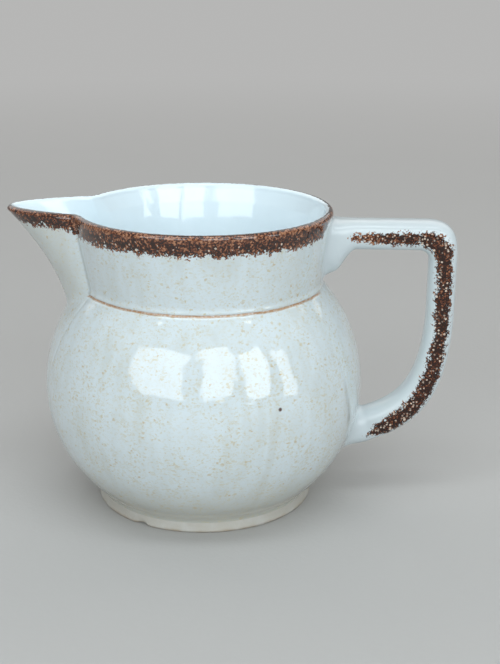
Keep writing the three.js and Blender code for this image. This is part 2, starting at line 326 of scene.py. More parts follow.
def belly_radius_at(body, z, offset=0.0):
    """Radius of the belly at heights z, grown by an offset."""
    lower, upper = belly_half_heights(body, offset)
    rise = np.asarray(z, float) - body.belly_centre
    part = np.clip(rise / np.where(rise < 0, lower, upper), -1, 1)
    return (body.belly_radius + offset) * np.sqrt(1 - part ** 2)


def collar_top(body):
    """Height where the straight collar ends and the lip's rounding begins."""
    return body.rim_height - body.lip / 2


def collar_radius_at(body, z):
    """Radius of the collar's straight outside, level above it."""
    climb = (np.asarray(z, float) - body.neck_height) / (collar_top(body) - body.neck_height)
    return lerp(body.neck_radius, body.rim_radius, np.clip(climb, -1, 1))


def outside_radius_at(body, z):
    """Radius of the body's outside without the beak and the neck line."""
    belly_end = body.neck_height + 0.006
    belly = belly_radius_at(body, np.minimum(z, belly_end))
    return soft_max(belly, collar_radius_at(body, z), body.neck_fillet * 2)


def belly_heights(body, low, high, steps, offset=0.0):
    """Heights along the belly's curve, evenly spaced by its angle."""
    lower, upper = belly_half_heights(body, offset)

    def angle_at(z):
        rise = z - body.belly_centre
        return math.asin(rise / (lower if rise < 0 else upper))

    angles = np.linspace(angle_at(low), angle_at(high), steps + 1)
    return body.belly_centre + np.where(angles < 0, lower, upper) * np.sin(angles)


def body_profile(body):
    """Rows from the middle of the underside, over the rim, to the middle of the floor."""
    bottom, neck, top = body.belly_bottom, body.neck_height, collar_top(body)
    edge, tuck = body.bottom_radius + 0.00015, body.bottom_tuck
    swell, shoulder = bottom + 0.0036, neck - 0.0042
    floor, corner, run = bottom + body.floor, body.floor_corner, body.floor_run

    def outside(z):
        return outside_radius_at(body, z)

    def inside(z):
        return belly_radius_at(body, z, -body.wall)

    lead = swell - 0.0016
    skirt = bezier(
        12, (edge, bottom - tuck), (edge, bottom + 0.0004),
        (outside(lead), lead), (outside(swell), swell),
    )
    belly = belly_heights(body, swell, shoulder, 64)[1:]
    groove = np.linspace(shoulder + 0.0003, neck + 0.0040, 24)
    from_line = (groove - neck + body.groove_width) / body.groove_width
    dip = body.groove_depth * np.exp(-(from_line ** 2))
    collar = np.linspace(neck + 0.005, top, 24)[:-1]
    step = np.linspace(0, 1, 17)
    half_lip = body.lip / 2
    lip_radius = body.rim_radius - half_lip + half_lip * np.cos(np.pi * step)
    lip_height = top + half_lip * np.sin(np.pi * step)
    down = np.concatenate([np.linspace(0, 0.3, 16), np.linspace(0.3, 1, 14)[1:]])[1:]
    bevel = body.inner_bevel * np.minimum(down / 0.2, 1) * np.minimum((1 - down) / 0.6, 1)
    throat = lerp(body.rim_radius - body.lip, inside(neck), down) - bevel
    well = belly_heights(body, floor + corner, neck - 0.001, 44, -body.wall)[::-1]
    wall = inside(floor + corner)
    cove = bezier(
        8, (wall, floor + corner), (wall - 0.004, floor + corner * 0.35),
        (wall - 0.009, floor), (wall - run, floor),
    )[1:]
    return profile(
        (np.linspace(0, edge - tuck - 0.001, 7), bottom),
        (edge - tuck, bottom - tuck),
        skirt.T,
        (outside(belly), belly),
        (outside(groove) - dip, groove),
        (outside(collar), collar),
        (lip_radius, lip_height, step),
        (throat, lerp(top, neck, down), 1),
        (inside(well), well, 1),
        (*cove.T, 1),
        (np.linspace(wall - run, 0, 6)[1:], floor, 1),
    )


def foot_profile(body):
    """Closed rows of the foot ring's section, its top hidden in the belly's underside."""
    edge, outer = body.foot_edge, body.foot_radius
    top, waist = body.belly_bottom, body.bottom_radius
    inner = outer - body.foot_land

    def rounding(middle, first, last, steps):
        turn = np.radians(np.linspace(first, last, steps))
        return middle + edge * np.cos(turn), edge + edge * np.sin(turn)

    start = (inner + 0.0002, top + 0.0004)
    toe = rounding(outer - edge, 270, 372, 9)
    climb = np.linspace(0, 1, 9)[1:]
    return profile(
        start,
        (inner + 0.0001, top - 0.0012),
        (inner, edge + 0.0014),
        rounding(inner + edge, 180, 270, 7),
        (np.linspace(inner + edge, outer - edge, 5)[1:-1], 0.0),
        toe,
        (lerp(toe[0][-1], waist, climb ** 0.8), lerp(toe[1][-1], top - 0.0004, climb)),
        (waist - 0.0006, top + 0.0003),
        (waist - 0.0016, top + 0.0004),
        start,
    )


def beak_outline(body, beak, z, inset, steps=72):
    """Half plan of the beak at heights z taken in by an inset, from the crease to the keel."""
    climb = np.clip((z - body.neck_height) / (body.rim_height - body.neck_height), 0, None)
    top = body.rim_height - 0.0016
    sweep = np.clip((z - beak.root_height) / (top - beak.root_height), 0, 1)
    reach = lerp(beak.root_reach, beak.tip_reach, sweep ** beak.sweep)
    half_width = lerp(beak.root_half_width, beak.tip_half_width, climb)
    turn = lerp(beak.crease_at_neck, beak.crease_at_rim, climb)
    root = collar_radius_at(body, np.clip(z, body.neck_height, collar_top(body)))
    crease = np.stack([root * np.cos(turn), root * np.sin(turn)], -1)
    cheek = np.stack(
        [lerp(crease[:, 0], reach, beak.cheek_share), crease[:, 1] * beak.cheek_narrowing], -1
    )
    along = unit(np.stack([reach, half_width], -1) - cheek)
    inward = np.stack([along[:, 1], -along[:, 0]], -1) * inset[:, None]
    nose = np.stack([reach - inset, half_width * (1 - inset / (2 * beak.wall))], -1)
    keel = np.stack([reach - inset, np.zeros_like(reach)], -1)
    t = np.linspace(0, 1, steps + 1)[None, :, None]
    return cubic(t, *(p[:, None] for p in (crease + inward, cheek + inward, nose, keel)))


def beak_radius_at(body, beak, z, turn, inset):
    """Distance from the axis to the beak's wall in the direction turn, run on past the crease."""
    outline = beak_outline(body, beak, z, inset)
    angles = np.arctan2(outline[..., 1], outline[..., 0])
    radii = np.hypot(outline[..., 0], outline[..., 1])
    first = np.clip((angles > turn[:, None]).sum(1) - 1, 0, angles.shape[1] - 2)
    rows = np.arange(len(z))
    start, end = angles[rows, first], angles[rows, first + 1]
    part = np.clip((turn - start) / (end - start - 1e-12), 0, 1)
    radius = lerp(radii[rows, first], radii[rows, first + 1], part)
    past_crease = np.clip(turn - angles[:, 0], 0, None) * radii[:, 0]
    slope = 0.8
    return radius - past_crease * slope


# Meshes


def read_points(mesh):
    """Vertex places of a mesh as an array."""
    flat = np.empty(len(mesh.vertices) * 3, np.float32)
    mesh.vertices.foreach_get("co", flat)
    return flat.reshape(-1, 3).astype(float)


def write_points(mesh, points):
    """Moves the vertices of a mesh."""
    mesh.vertices.foreach_set("co", points.astype(np.float32).ravel())
    mesh.update()


def read_values(mesh, name):
    """The number stored on each vertex of a mesh."""
    flat = np.empty(len(mesh.vertices), np.float32)
    mesh.attributes[name].data.foreach_get("value", flat)
    return flat.astype(float)


def write_values(mesh, name, values):
    """Stores a number or a vector on each vertex of a mesh."""
    values = np.asarray(values, np.float32)
    kind, key = ("FLOAT", "value") if values.ndim == 1 else ("FLOAT_VECTOR", "vector")
    layer = mesh.attributes.new(name, kind, "POINT")
    layer.data.foreach_set(key, values.ravel())


def carrier(name, points, **values):
    """A chain of vertices with a number or a vector on each, for a node tree to read."""
    mesh = bpy.data.meshes.new(name)
    mesh.from_pydata([tuple(p) for p in points], [(i, i + 1) for i in range(len(points) - 1)], [])
    for key, numbers in values.items():
        write_values(mesh, key, numbers)
    return linked(name, mesh)


def linked(name, data):
    """A new object in the scene."""
    obj = bpy.data.objects.new(name, data)
    bpy.context.scene.collection.objects.link(obj)
    return obj


def signed_volume(mesh):
    """Volume inside a closed mesh, negative where it is inside out."""
    mesh.calc_loop_triangles()
    corners = np.empty(len(mesh.loop_triangles) * 3, np.int32)
    mesh.loop_triangles.foreach_get("vertices", corners)
    a, b, c = read_points(mesh)[corners.reshape(-1, 3)].transpose(1, 0, 2)
    return float(np.einsum("ij,ij->i", a, np.cross(b, c)).sum() / 6)


def place_piece(mesh, name, slot, *nodes):
    """Turns a mesh's faces outwards and puts it into the scene in place of CAD nodes."""
    if signed_volume(mesh) < 0:
        mesh.flip_normals()
    mesh.shade_smooth()
    mesh.update()
    obj = linked(name, mesh)
    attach(obj, "root")
    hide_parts(*nodes)


# Node trees


class Wire:
    """An output in a node tree: sums, differences and products of it lay math nodes."""

    def __init__(self, board, socket):
        self.board, self.socket = board, socket

    def __add__(self, other):
        return self.board.math("ADD", self, other)

    def __sub__(self, other):
        return self.board.math("SUBTRACT", self, other)

    def __rsub__(self, other):
        return self.board.math("SUBTRACT", other, self)

    def __mul__(self, other):
        return self.board.math("MULTIPLY", self, other)

    def __truediv__(self, other):
        return self.board.math("DIVIDE", self, other)

    def __abs__(self):
        return self.board.math("ABSOLUTE", self)


def ink(colour):
    """A colour in the form that a socket takes."""
    return colour if isinstance(colour, Wire) else (*colour, 1)


class Board:
    """Lays nodes into a tree and links them."""

    def __init__(self, tree):
        self.tree = tree

    def add(self, kind, values=None, **options):
        """A node with its options, and its inputs by name or place: a wire is linked."""
        node = self.tree.nodes.new(kind)
        for key, option in options.items():
            setattr(node, key, option)
        for key, value in (values or {}).items():
            if isinstance(value, Wire):
                self.tree.links.new(value.socket, node.inputs[key])
            elif value is not None:
                node.inputs[key].default_value = value
        return node

    def out(self, kind, values=None, output=0, **options):
        """One output of a new node."""
        return Wire(self, self.add(kind, values, **options).outputs[output])

    def outs(self, kind, values=None):
        """The outputs of a new node by their names."""
        return {socket.name: Wire(self, socket) for socket in self.add(kind, values).outputs}

    def math(self, operation, first, second=None):
        """Result of a math node."""
        return self.out("ShaderNodeMath", {0: first, 1: second}, operation=operation)

    def vector(self, operation, first, second=None, result="Vector", **values):
        """Result of a vector math node."""
        values = {0: first, 1: second, **values}
        return self.out("ShaderNodeVectorMath", values, result, operation=operation)

    def ramp(self, value, low, high, start=0.0, end=1.0):
        """Smooth step of a number from start at low to end at high."""
        values = {"Value": value, "From Min": low, "From Max": high, "To Min": start, "To Max": end}
        return self.out("ShaderNodeMapRange", values, interpolation_type="SMOOTHSTEP")

    def combine(self, x, y, z):
        """A vector from three numbers."""
        return self.out("ShaderNodeCombineXYZ", {0: x, 1: y, 2: z})

    def split(self, value):
        """The three numbers of a vector."""
        return tuple(self.outs("ShaderNodeSeparateXYZ", {0: value}).values())

    def blend(self, part, first, second):
        """Mix of two colours."""
        values = {0: part, 6: ink(first), 7: ink(second)}
        return self.out("ShaderNodeMix", values, 2, data_type="RGBA", clamp_factor=True)

    def noise(self, place, scale, detail=2.0, rough=0.5, output="Fac"):
        """Soft noise: scale is in features for each metre."""
        values = {"Vector": place, "Scale": scale, "Detail": detail, "Roughness": rough}
        return self.out("ShaderNodeTexNoise", values, output)

    def read(self, name):
        """A number stored on the piece."""
        return self.out("ShaderNodeAttribute", None, "Fac", attribute_name=name)


def new_tree(name, **inputs):
    """An empty geometry tree with a geometry and named inputs. Returns tree, board and inputs."""
    tree = bpy.data.node_groups.new(name, "GeometryNodeTree")
    tree.is_modifier = True
    tree.interface.new_socket("Geometry", in_out="OUTPUT", socket_type="NodeSocketGeometry")
    for label, kind in {"Geometry": "Geometry", **inputs}.items():
        tree.interface.new_socket(label, in_out="INPUT", socket_type="NodeSocket" + kind)
    board = Board(tree)
    return tree, board, board.outs("NodeGroupInput")


def grid_over(board, source, columns):
    """A grid with a row for each carrier vertex. Returns mesh, row and column of each vertex."""
    chain = {"Geometry": source}
    rows = board.out("GeometryNodeAttributeDomainSize", chain, "Point Count", component="MESH")
    mesh = board.out("GeometryNodeMeshGrid", {"Vertices X": columns + 1.0, "Vertices Y": rows})
    index = board.out("GeometryNodeInputIndex")
    column = board.math("FLOOR", (index + 0.25) / rows)
    return mesh, index - column * rows, column


def sampler(board, source, index):
    """A function that reads a carrier's attribute at the vertex with that index."""

    def sample(name, kind="FLOAT"):
        named = {"Name": name}
        value = board.out("GeometryNodeInputNamedAttribute", named, "Attribute", data_type=kind)
        values = {"Geometry": source, "Value": value, "Index": index}
        options = {"data_type": kind, "domain": "POINT"}
        return board.out("GeometryNodeSampleIndex", values, "Value", **options)

    return sample


def store(board, mesh, **numbers):
    """Keeps named numbers on each vertex of a mesh."""
    options = {"data_type": "FLOAT", "domain": "POINT"}
    for name, number in numbers.items():
        values = {"Geometry": mesh, "Name": name, "Value": number}
        mesh = board.out("GeometryNodeStoreNamedAttribute", values, **options)
    return mesh


def close_tree(board, mesh, place, material):
    """Moves the grid into place, welds its seam and poles and hands it out as plain mesh."""
    for kind, values in (
        ("SetPosition", {"Position": place}),
        ("MergeByDistance", {"Distance": WELD}),
        ("RealizeInstances", {}),
        ("SetMaterial", {"Material": material}),
    ):
        mesh = board.out("GeometryNode" + kind, {"Geometry": mesh, **values})
    board.add("NodeGroupOutput", {0: mesh})


def turned_tree():
    """A tree that turns a profile of (radius, 0, height) vertices about an upright axis."""
    tree, board, given = new_tree(
        "Turned clay", Facets="Int", Crowding="Float", Axis="Float", Material="Material"
    )
    mesh, row, column = grid_over(board, given["Geometry"], given["Facets"])
    sample = sampler(board, given["Geometry"], row)
    turn = column / given["Facets"] * (2 * math.pi)
    turn = turn - board.math("SINE", turn) * given["Crowding"]
    radius, _, height = board.split(sample("position", "FLOAT_VECTOR"))
    across = radius * board.math("SINE", turn)
    along = radius * board.math("COSINE", turn)
    place = board.combine(given["Axis"] - along, across, height)
    mesh = store(board, mesh, inside=sample("inside"))
    close_tree(board, mesh, place, given["Material"])
    return tree


def strap_tree():
    """A tree that draws a strap with a squared section along a chain of vertices."""
    tree, board, given = new_tree(
        "Clay strap", Sides="Int", Squareness="Float", Material="Material"
    )
    mesh, row, column = grid_over(board, given["Geometry"], given["Sides"])
    sample = sampler(board, given["Geometry"], row)
    turn = column / given["Sides"] * (2 * math.pi)
    turn_cos, turn_sin = board.math("COSINE", turn), board.math("SINE", turn)
    power = board.math("DIVIDE", 2.0, given["Squareness"])

    def squared(value):
        return board.math("POWER", abs(value), power) * board.math("SIGN", value)

    depth, breadth = squared(turn_cos), squared(turn_sin)
    inner = board.math("MAXIMUM", depth, 0.0) * sample("inner")
    outer = board.math("MINIMUM", depth, 0.0) * sample("outer")
    offset = board.vector("SCALE", sample("inward", "FLOAT_VECTOR"), Scale=inner + outer)
    across = board.combine(0.0, breadth * sample("half_width"), 0.0)
    place = board.vector("ADD", sample("position", "FLOAT_VECTOR"), offset)
    place = board.vector("ADD", place, across)
    mesh = store(
        board, mesh, path=sample("path"), depth=depth, breadth=breadth,
        row=row, turn_cos=turn_cos, turn_sin=turn_sin,
    )
    close_tree(board, mesh, place, given["Material"])
    return tree


def grown_mesh(obj, tree, name, **inputs):
    """Runs a tree on a carrier with its named inputs and returns the plain mesh."""
    modifier = obj.modifiers.new(name, "NODES")
    modifier.node_group = tree
    for item in tree.interface.items_tree:
        if item.in_out == "INPUT" and item.name in inputs:
            modifier[item.identifier] = inputs[item.name]
    depsgraph = bpy.context.evaluated_depsgraph_get()
    mesh = bpy.data.meshes.new_from_object(
        obj.evaluated_get(depsgraph), preserve_all_data_layers=True, depsgraph=depsgraph
    )
    mesh.name = name
    if not mesh.polygons:
        raise RuntimeError(f"the node tree gave no faces for {name}")
    chain = obj.data
    bpy.data.objects.remove(obj)
    bpy.data.meshes.remove(chain)
    return mesh


def turned_mesh(name, rows, facets, crowding, material):
    """Turns the rows of a profile about the jug's axis."""
    radii, heights, inside = zip(*rows)
    chain = carrier(name, [(r, 0, z) for r, z in zip(radii, heights)], inside=inside)
    return grown_mesh(
        chain, turned_tree(), name,
        Facets=facets, Crowding=crowding, Axis=AXIS_X, Material=material,
    )


# Finishes


def new_finish(name):
    """A material with an empty tree. Returns material, board and Object coordinates."""
    material = bpy.data.materials.new(name)
    material.use_nodes = True
    material.node_tree.nodes.clear()
    board = Board(material.node_tree)
    return material, board, board.out("ShaderNodeTexCoord", None, "Object")


def glazed(board, colour, rough, relief, relief_height, **gloss):
    """Surface of a colour with its gloss and fine relief."""
    bump = {"Height": relief, "Strength": 1.0, "Distance": relief_height}
    normal = board.out("ShaderNodeBump", bump)
    values = {"Base Color": colour, "Roughness": rough, "Normal": normal}
    values.update((label.replace("_", " "), value) for label, value in gloss.items())
    return board.out("ShaderNodeBsdfPrincipled", values)


def show(board, surface):
    """Ends a material's tree with a surface."""
    board.add("ShaderNodeOutputMaterial", {"Surface": surface})


def specks(board, place, scale, size, density):
    """Specks in one size: how far they cover, and a number that differs from speck to speck."""
    cell = board.outs("ShaderNodeTexVoronoi", {"Vector": place, "Scale": scale})
    chance, spread, shade = board.split(cell["Color"])
    radius = board.math("POWER", spread, 2.0) * size + size * 0.5
    away = cell["Distance"] - radius + (board.noise(place, scale * 5) - 0.5) * 0.5
    dot = board.ramp(away, -0.11, 0.07, 1.0, 0.0)
    return dot * board.math("LESS_THAN", chance, density), shade


def sponged(board, place, cover, bias, dotted, fray, grain):
    """Dabbed brown: colour, and how far it covers. cover is metres inside the painted edge."""
    finishes = settings().finishes
    fine = board.noise(place, grain, 3.0, 0.62) - 0.5
    dabs = board.noise(place, grain * 0.41, 2.0, 0.6) - 0.5
    broad = board.noise(place, 130, 1.0) - 0.5
    ragged = cover + dabs * fray + fine * fray + broad * 0.0025
    tone = bias + 0.42 + fine * 2.0 + dabs * 0.8
    ramp = board.add("ShaderNodeValToRGB", {"Fac": tone})
    stops = ramp.color_ramp.elements
    stops[0].position, stops[0].color = 0.38, ink(finishes.sponge_dark)
    stops[1].position, stops[1].color = 0.78, ink(finishes.sponge_tan)
    stops.new(0.56).color = ink(finishes.sponge)
    dots, shade = specks(board, place, 760, 0.34, dotted)
    dots = dots * (shade * 0.7 + 0.25)
    brown = board.blend(dots, Wire(board, ramp.outputs["Color"]), finishes.sponge_hole)
    return brown, board.ramp(ragged, -0.0003, 0.0004)


def sprinkled(board, place, bare, outside, colour):
    """A glaze with a fine mottle, small pale specks and bold ones; fewer where bare is low."""
    finishes = settings().finishes
    drift = board.noise(place, 500, 2.0, 0.6, "Color")
    drift = board.vector("SUBTRACT", drift, (0.5, 0.5, 0.5))
    wandering = board.vector("ADD", place, board.vector("SCALE", drift, Scale=0.0022))
    wandering = board.vector("MULTIPLY", wandering, (1, 1, 1.5))
    crowd = board.ramp(board.noise(place, 75, 2.0, 0.55), 0.34, 0.66) * bare

    mottle = board.ramp(board.noise(wandering, 620, 3.0, 0.7), 0.46, 0.72, 0.0, 0.74)
    mottle = mottle * (crowd * 0.55 + 0.45) * outside
    colour = board.blend(mottle, colour, finishes.speck_pale)

    small, shade = specks(board, wandering, 520, 0.28, crowd * 0.90 + 0.26)
    faint = small * outside * (shade * -0.50 + 0.9)
    colour = board.blend(faint, colour, finishes.speck_pale)

    bold, shade = specks(board, wandering, 400, 0.24, crowd * 0.66 + 0.03)
    strong = bold * outside * (shade * -0.40 + 0.78)
    return board.blend(strong, colour, board.blend(shade, finishes.speck, finishes.speck_pale))


def marked(board, place, outside, colour):
    """A glaze with the iron spot, the run under it and painted shade in the scored lines."""
    finishes = settings().finishes
    x, y, z = board.split(place)
    spot = board.vector("DISTANCE", place, IRON_SPOT, "Value")
    colour = board.blend(board.ramp(spot, 0.0006, 0.0012, 0.94, 0.0), colour, finishes.iron)

    around = board.math("ARCTAN2", x - AXIS_X, y * -1.0)
    beside = abs(around - (z * 1.2 + math.radians(24.5)))
    run = board.ramp(beside, math.radians(0.6), math.radians(2.2), 0.20, 0.0)
    run = run * board.ramp(z, 0.060, 0.068, 1.0, 0.0) * outside
    colour = board.blend(run, colour, finishes.glaze_run)

    # Painted shade: grey darkening along the scored crease and its seam
    crease_shaded = board.ramp(board.read("score"), 0.15, 0.9, 0.0, 0.42)
    return board.blend(crease_shaded, colour, finishes.crease_shade)


def speckled_glaze():
    """Pale glaze, ochre specks, sponged rim, neck line, inside glaze, painted shade and light."""
    body, finishes = settings().body, settings().finishes
    material, board, place = new_finish("Speckled glaze")
    x, y, z = board.split(place)
    inside, beak = board.read("inside"), board.read("beak")
    from_handle = board.math("ARCTAN2", abs(y), x - AXIS_X)
    lined = board.ramp(board.noise(place, 420) * 0.30 + inside, 0.62, 0.74)
    outside = 1.0 - lined

    streaks = board.noise(board.vector("MULTIPLY", place, (1, 1, 0.08)), 170)
    clouds = board.noise(place, 34, 3.0, 0.6)
    thin = board.ramp(streaks * 0.55 + clouds * 0.75, 0.50, 0.92)
    colour = board.blend(thin, finishes.glaze, finishes.glaze_thin)
    # Painted shade: the glaze is darkened towards the bottom and over the beak
    low = board.ramp(z, 0.006, 0.036, 1.0, 0.0)
    colour = board.blend(board.math("MAXIMUM", beak * 0.6, low), colour, finishes.painted_shade_low)

    bare = board.ramp(z, 0.080, 0.125, 1.0, 0.55) * board.ramp(beak, 0.1, 0.6, 1.0, 0.3)
    colour = sprinkled(board, place, bare, outside, colour)
    colour = marked(board, place, outside, colour)

    wobble = board.noise(place, 150, 1.0) * 0.0006 + z
    from_line = abs(wobble - (body.neck_height - 0.0004))
    painted = board.ramp(from_line, 0.0002, 0.0007, 0.95, 0.0)
    grain = board.ramp(board.noise(place, 900), 0.25, 0.6, 0.55, 1.0)
    reach = board.ramp(from_handle, math.radians(9), math.radians(20))
    clear = board.ramp(beak, 0.02, 0.12, 1.0, 0.0)
    line = painted * grain * reach * clear * outside
    colour = board.blend(line, colour, finishes.neck_line)
    # Painted light: the inside takes its paler colour
    colour = board.blend(lined, colour, finishes.lit_lining)

    below = body.rim_height - z
    seated = board.ramp(from_handle, math.radians(13), math.radians(24), 0.0060, 0.0)
    cover = 0.0090 - (board.ramp(beak, 0.1, 0.8) * 0.0026 + seated) - below
    crest = board.ramp(inside, 0.30, 0.42, 0.0, 0.32)
    # Painted light: the brown is lighter towards the rim for the lip's lit crest; it is darker
    # along the lip's inner edge and on the beak
    bias = board.ramp(below, 0.0008, 0.0050, 0.17, 0.0) - crest - beak * 0.08
    dotted = board.ramp(below, 0.0025, 0.0060, 0.0, 0.28)
    brown, mask = sponged(board, place, cover, bias, dotted, fray=0.0072, grain=1050)
    nose = (AXIS_X - WORN_NOSE_REACH, 0, body.rim_height - 0.001)
    from_nose = board.vector("DISTANCE", place, nose, "Value")
    unworn = board.ramp(from_nose, 0.0015, 0.0045, 0.25, 1.0)
    colour = board.blend(mask * outside * unworn, colour, brown)

    pits = board.noise(place, 1400, 1.0)
    relief = pits * 0.007 + board.noise(place, 55) + streaks * 0.14
    rough = board.ramp(board.noise(place, 260, 3.0), 0.3, 0.7, 0.012, 0.035)
    gloss = {"IOR": 1.56, "Coat_Weight": 0.4, "Coat_Roughness": 0.02}
    show(board, glazed(board, colour, rough, relief, relief_height=0.0007, **gloss))
    return material


def striped_glaze():
    """White glaze of the handle with a sponged brown stripe along each side."""
    finishes = settings().finishes
    material, board, place = new_finish("Striped white glaze")
    path, depth, breadth = (board.read(name) for name in ("path", "depth", "breadth"))
    thin = board.ramp(board.noise(place, 40, 3.0, 0.6), 0.45, 0.8)
    colour = board.blend(thin, finishes.handle_glaze, finishes.glaze_thin)

    curve = board.add("ShaderNodeFloatCurve", {"Factor": 1.0, "Value": path})
    points = curve.mapping.curves[0].points
    points[0].location, points[1].location = STRIPE[0], STRIPE[-1]
    for at, level in STRIPE[1:-1]:
        points.new(at, level)
    curve.mapping.update()
    middle = Wire(board, curve.outputs[0]) * 2.0 - 1.0
    flank = board.ramp(abs(breadth), 0.40, 0.80, 0.006, 0.0)
    arm = board.ramp(path, 0.22, 0.32, 0.0006, 0.0)
    start = board.ramp(path, 0.040, 0.085, 0.0050, 0.0012)
    start = start * board.ramp(path, 0.085, 0.20, 1.0, 0.0)
    stop = board.ramp(path, 0.88, 0.98, 0.0, 0.005)
    cover = abs(depth - middle) * -0.0064 + 0.0035 - (flank + arm + start + stop)
    bias = board.ramp(path, 0.06, 0.24, 0.07, -0.10)
    dotted = board.ramp(path, 0.06, 0.24, 0.80, 0.55)
    brown, mask = sponged(board, place, cover, bias, dotted, fray=0.0054, grain=1350)
    colour = board.blend(mask, colour, brown)

    rough = board.ramp(board.noise(place, 260, 3.0), 0.3, 0.7, 0.07, 0.13)
    waves = board.noise(place, 60)
    show(board, glazed(board, colour, rough, waves, relief_height=0.0006, IOR=1.5))
    return material


def foot_glaze():
    """Thin satin glaze of the foot, toasted along its lower edge."""
    finishes = settings().finishes
    material, board, place = new_finish("Wiped foot glaze")
    z = board.split(place)[2]
    patches = board.noise(place, 130, 3.0, 0.65)
    toasted = board.ramp(z + (patches - 0.5) * 0.0042, -0.0002, 0.0016, 0.65, 0.0)
    colour = board.blend(board.ramp(patches, 0.4, 0.75), finishes.foot, finishes.foot_pale)
    colour = board.blend(toasted, colour, finishes.foot_edge)
    rough = board.ramp(z, 0.0008, 0.0035, 0.62, 0.30)
    relief = board.noise(place, 1500) * 0.3 + patches
    show(board, glazed(board, colour, rough, relief, relief_height=0.00015, IOR=1.5))
    return material


def seen_rays(board):
    """1 for rays that show the surround, less for its mirror image, 0 for light that it sheds."""
    ray = board.outs("ShaderNodeLightPath")
    mirrored = ray["Is Glossy Ray"] + ray["Is Transmission Ray"]
    return board.math("MINIMUM", mirrored * MIRRORED_SURROUND + ray["Is Camera Ray"], 1.0)


def floor_finish():
    """Plain pale studio floor with a faint unevenness, which runs into the pale surround."""
    finishes = settings().finishes
    material, board, place = new_finish("Studio floor")
    shade = tuple(c * 0.97 for c in finishes.ground)
    colour = board.blend(board.noise(place, 3), finishes.ground, shade)
    rough = board.ramp(board.noise(place, 9), 0.3, 0.7, 0.86, 0.94)
    grain = board.noise(place, 400)
    near = glazed(board, colour, rough, grain, relief_height=0.0001, IOR=1.3)
    far = board.out("ShaderNodeEmission", {"Color": ink(finishes.surround)})
    away = board.ramp(board.vector("LENGTH", place, result="Value"), 0.5, 1.9)
    part = away * seen_rays(board)
    show(board, board.out("ShaderNodeMixShader", {0: part, 1: near, 2: far}))
    return material


# Pieces


def pull_beak(mesh):
    """Moves the body's wall outwards to the beak's plan and keeps how far it was moved."""
    body, beak = settings().body, settings().beak
    points = read_points(mesh)
    out = AXIS_X - points[:, 0]
    turn = np.abs(np.arctan2(points[:, 1], out))
    radius = np.hypot(points[:, 1], out)
    past_crease, core, under_root = 0.25, 0.03, 0.024
    near = (turn < beak.crease_at_neck + past_crease) & (radius > core)
    near &= points[:, 2] > beak.root_height - under_root
    turn, old, z = turn[near], radius[near], points[near, 2]
    inside = read_values(mesh, "inside")[near]

    from_line = np.clip(collar_radius_at(body, z) - old, 0, body.lip)
    inset = np.where(inside > 0, from_line, 0) * beak.wall / body.lip
    pulled = beak_radius_at(body, beak, z, turn, inset)
    new = soft_max(old, pulled, lerp(beak.crease_softness, beak.inner_softness, inside))
    opened = smoothstep(z, body.neck_height + 0.0005, body.neck_height + 0.009)
    new = np.where(inside >= 1, lerp(old, new, opened), new)

    fall = (body.neck_height - z) / beak.seam_fall
    scored = np.exp(-(((pulled - old) / beak.score_width) ** 2))
    scored *= smoothstep(-fall, -0.09, 0.03)
    across = (turn - lerp(beak.crease_at_neck, beak.seam_end, fall)) * old
    seam = beak.seam_strength * np.exp(-((across / beak.score_width) ** 2))
    seam *= smoothstep(fall, 0, 0.10) * (1 - smoothstep(fall, 0.6, 1.2))
    scored = np.where(inside <= 0, np.maximum(scored, seam), 0)
    new -= beak.score_depth * scored

    grow = new / old
    points[near, 0] = AXIS_X - out[near] * grow
    points[near, 1] *= grow
    write_points(mesh, points)
    full_pull = 0.006
    for name, values in (("beak", np.clip((new - old) / full_pull, 0, 1)), ("score", scored)):
        spread = np.zeros(len(points))
        spread[near] = values
        write_values(mesh, name, spread)


def take_chip(mesh):
    """Takes a shallow flake off the foot's lower edge, front left."""
    body = settings().body
    points = read_points(mesh)
    outward = np.array([math.cos(body.chip_turn), math.sin(body.chip_turn), 0])
    centre = np.array([AXIS_X, 0, 0]) + body.foot_radius * outward
    flake, lift = (1, 1, 0.8), (0, 0, 0.9)
    away = np.linalg.norm((points - centre) / flake, axis=1)
    depth = body.chip_depth * np.clip(1 - (away / body.chip_radius) ** 2, 0, None)
    write_points(mesh, points + depth[:, None] * (lift - outward))


def straight(first, last, steps):
    """Points of a straight line in the plane, both ends included."""
    return lerp(np.array(first), np.array(last), np.linspace(0, 1, steps + 1)[:, None])


def capped(values, end=0.0):
    """Rows with one more at each end: the end row times a number."""
    return np.concatenate([values[:1] * end, values, values[-1:] * end])


